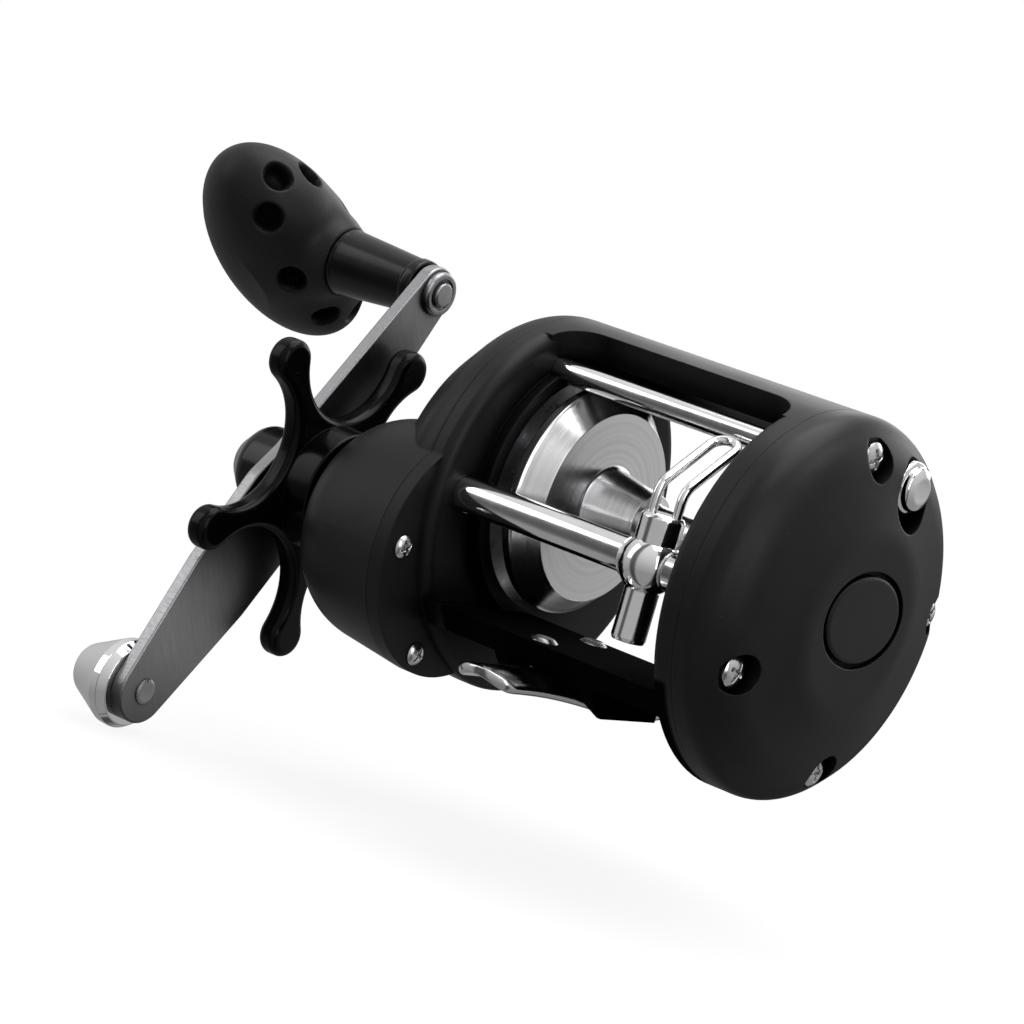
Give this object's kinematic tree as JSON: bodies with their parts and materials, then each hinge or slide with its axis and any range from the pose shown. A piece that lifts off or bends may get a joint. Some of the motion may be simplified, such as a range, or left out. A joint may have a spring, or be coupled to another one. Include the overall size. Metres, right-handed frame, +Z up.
{
  "type": "trolling reel",
  "caption": "Level-wind trolling reel with star drag, counterweighted crank, free-spool lever, clicker and a curved rod foot.",
  "frame": {"origin": "on the axis of the rod that the foot clamps to, under the middle of the line window", "axes": "+X from the handle side to the tail plate along the spool axis, -Y the way the line leaves, +Z up from the rod to the spool"},
  "size_m": [0.1846, 0.097, 0.1174],
  "materials": {
    "body_black": "satin moulded",
    "gloss_black": "gloss",
    "grip_black": "soft touch",
    "chrome": "polished",
    "screw_steel": "bright",
    "arm_steel": "brushed",
    "plate_steel": "machined",
    "bearing_steel": "ground",
    "gear_brass": "machined",
    "drag_fibre": "woven fibre",
    "gear_nylon": "moulded",
    "spring_steel": "drawn wire"
  },
  "bodies": {
    "root": {"frame": "body_black", "reel_foot": "chrome", "foot_screws": "screw_steel", "tail_cover": "body_black", "tail_cap": "gloss_black", "tail_cover_screws": "screw_steel", "gear_cover": "body_black", "gear_cover_screws": "screw_steel", "bridge_plate": "plate_steel", "gear_stud": "plate_steel", "bearing_outer_races": "bearing_steel", "bearing_balls": "bearing_steel", "one_way_bearing_shell": "plate_steel", "one_way_rollers": "bearing_steel", "dog_post": "plate_steel", "dog_spring": "spring_steel", "level_wind_tube": "chrome", "worm_bushes": "gear_brass", "upper_guide_rod": "chrome", "yoke_posts": "plate_steel", "yoke_springs": "spring_steel"},
    "click": {"click_button": "chrome", "click_pawl": "gear_nylon", "click_spring": "spring_steel"},
    "drive": {"drive_shaft": "plate_steel", "main_gear": "gear_brass", "level_wind_cog": "gear_brass", "fibre_drag_washers": "drag_fibre", "metal_drag_washers": "plate_steel", "drag_sleeve": "plate_steel", "ratchet_wheel": "bearing_steel", "spring_washers": "plate_steel", "handle_arm": "arm_steel", "handle_nut": "screw_steel", "nut_cap": "gloss_black", "knob_washer": "arm_steel", "knob_spindle": "screw_steel", "counterweight": "chrome", "weight_rivet": "screw_steel"},
    "star": {"star_wheel": "gloss_black", "star_nut": "plate_steel"},
    "knob": {"knob": "grip_black", "knob_stem": "gloss_black"},
    "spool": {"spool": "chrome", "spool_shaft": "plate_steel", "bearing_inner_races": "bearing_steel", "click_gear": "gear_nylon"},
    "yoke": {"clutch_yoke": "gear_nylon"},
    "pinion": {"pinion_gear": "gear_brass"},
    "lever": {"clutch_lever": "gloss_black", "clutch_shaft": "plate_steel", "clutch_cam": "plate_steel"},
    "worm": {"worm_shaft": "bearing_steel", "worm_cog": "gear_nylon"},
    "guide": {"guide_block": "chrome", "guide_pawl": "bearing_steel", "pawl_cap": "chrome", "line_guide": "chrome"},
    "dog": {"anti_reverse_dog": "bearing_steel"}
  },
  "joints": [
    {"name": "crank", "type": "hinge", "parent": "root", "child": "drive", "pos_m": [-0.06, -0.02066, 0.02918], "axis": [1, 0, 0], "continuous": true},
    {"name": "star_drag", "type": "hinge", "parent": "drive", "child": "star", "pos_m": [-0.07, -0.02066, 0.02918], "axis": [1, 0, 0], "range_deg": [-150, 150]},
    {"name": "knob_spin", "type": "hinge", "parent": "drive", "child": "knob", "pos_m": [-0.09, 0.00554, 0.07177], "axis": [1, 0, 0], "continuous": true},
    {"name": "spool_spin", "type": "hinge", "parent": "root", "child": "spool", "pos_m": [0, 0, 0.0429], "axis": [1, 0, 0], "continuous": true},
    {"name": "pinion_shift", "type": "slide", "parent": "root", "child": "yoke", "axis": [1, 0, 0], "range_m": [-0.0019, 0]},
    {"name": "pinion_spin", "type": "hinge", "parent": "yoke", "child": "pinion", "pos_m": [-0.04, 0, 0.0429], "axis": [1, 0, 0], "continuous": true},
    {"name": "clutch_lever", "type": "hinge", "parent": "root", "child": "lever", "pos_m": [-0.05, 0.014, 0.0529], "axis": [1, 0, 0], "range_deg": [0, 35]},
    {"name": "worm_spin", "type": "hinge", "parent": "root", "child": "worm", "pos_m": [0, -0.03075, 0.04001], "axis": [1, 0, 0], "continuous": true},
    {"name": "guide_travel", "type": "slide", "parent": "root", "child": "guide", "axis": [1, 0, 0], "range_m": [-0.037, 0.001]},
    {"name": "click_slide", "type": "slide", "parent": "root", "child": "click", "axis": [0, -0.3817, -0.9243], "range_m": [0, 0.003]},
    {"name": "dog_lift", "type": "hinge", "parent": "root", "child": "dog", "pos_m": [-0.046, -0.02647, 0.01321], "axis": [1, 0, 0], "range_deg": [-12, 0], "stiffness_Nm_per_rad": 0.01}
  ],
  "couplings": [
    {"joint": "spool_spin", "follows": "crank", "ratio": -4.1667},
    {"joint": "pinion_spin", "follows": "crank", "ratio": -4.1667},
    {"joint": "worm_spin", "follows": "crank", "ratio": -2.0833},
    {"joint": "pinion_shift", "follows": "clutch_lever", "m_per_rad": -0.0029}
  ]
}
